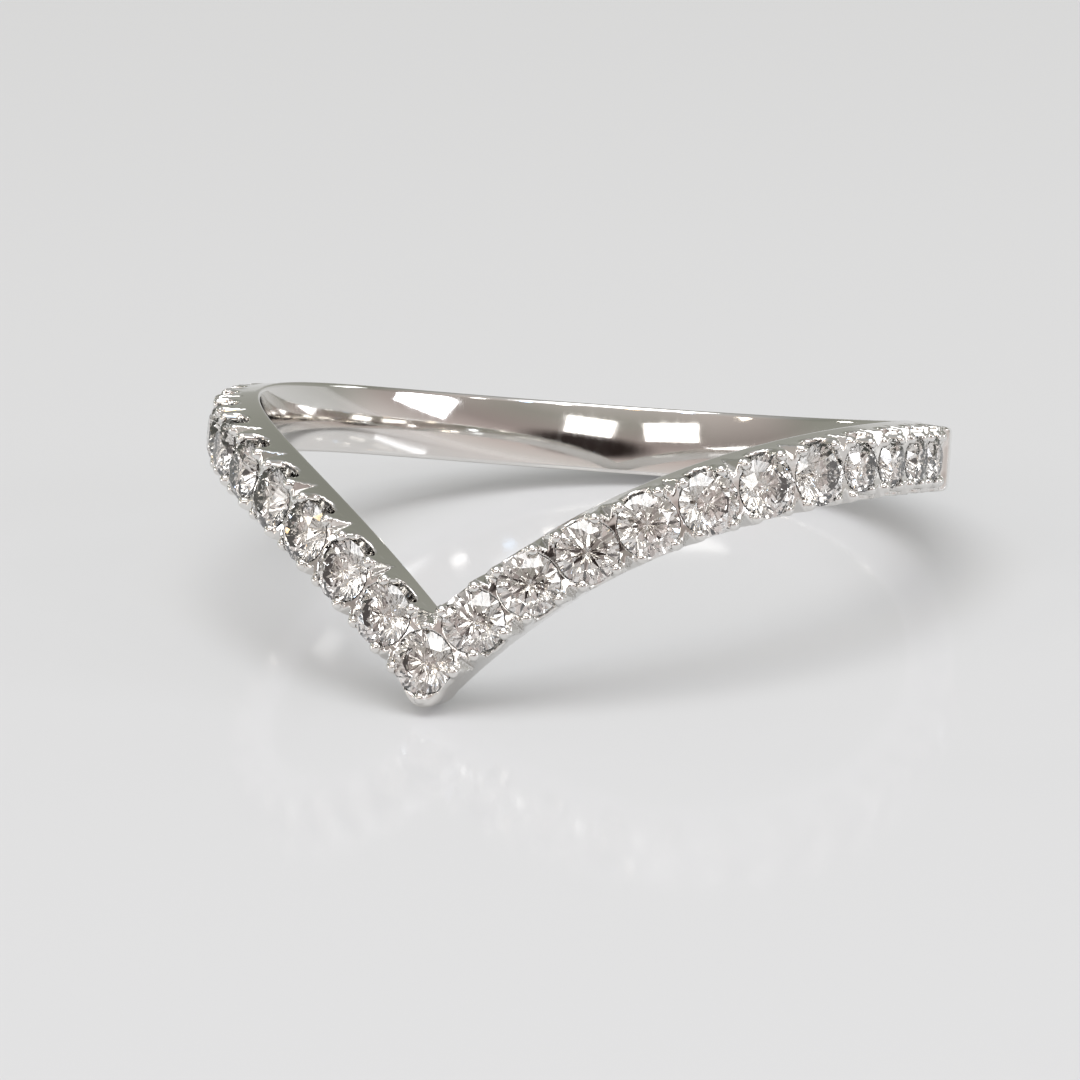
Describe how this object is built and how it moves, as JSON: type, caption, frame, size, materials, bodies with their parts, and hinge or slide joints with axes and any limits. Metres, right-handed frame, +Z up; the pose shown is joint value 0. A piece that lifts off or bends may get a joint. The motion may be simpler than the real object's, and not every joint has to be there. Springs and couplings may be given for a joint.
{
  "type": "chevron ring",
  "caption": "Finger ring with a plain rounded shank and a front that dips to a V, set along both arms with one row of round brilliant stones between paired beads.",
  "frame": {"origin": "centre of the bounding box at floor level, with the ring lying on its side as it would by itself", "axes": "+Z up from the floor; the point of the V faces -Y and the back of the shank +Y; X runs across the finger hole. The finger hole's own axis leans from +Z towards +Y, because the point of the V props the front up"},
  "size_m": [0.0192, 0.0206, 0.0056],
  "materials": {
    "white_gold": "polished white gold",
    "diamond": "clear, faceted, polished"
  },
  "bodies": {
    "root": {"band": "white_gold", "stone_01": "diamond", "stone_02": "diamond", "stone_03": "diamond", "stone_04": "diamond", "stone_05": "diamond", "stone_06": "diamond", "stone_07": "diamond", "stone_08": "diamond", "stone_09": "diamond", "stone_10": "diamond", "stone_11": "diamond", "stone_12": "diamond", "stone_13": "diamond", "stone_14": "diamond", "stone_15": "diamond", "stone_16": "diamond", "stone_17": "diamond", "stone_18": "diamond", "stone_19": "diamond", "stone_20": "diamond", "stone_21": "diamond", "stone_22": "diamond", "stone_23": "diamond"}
  },
  "joints": []
}
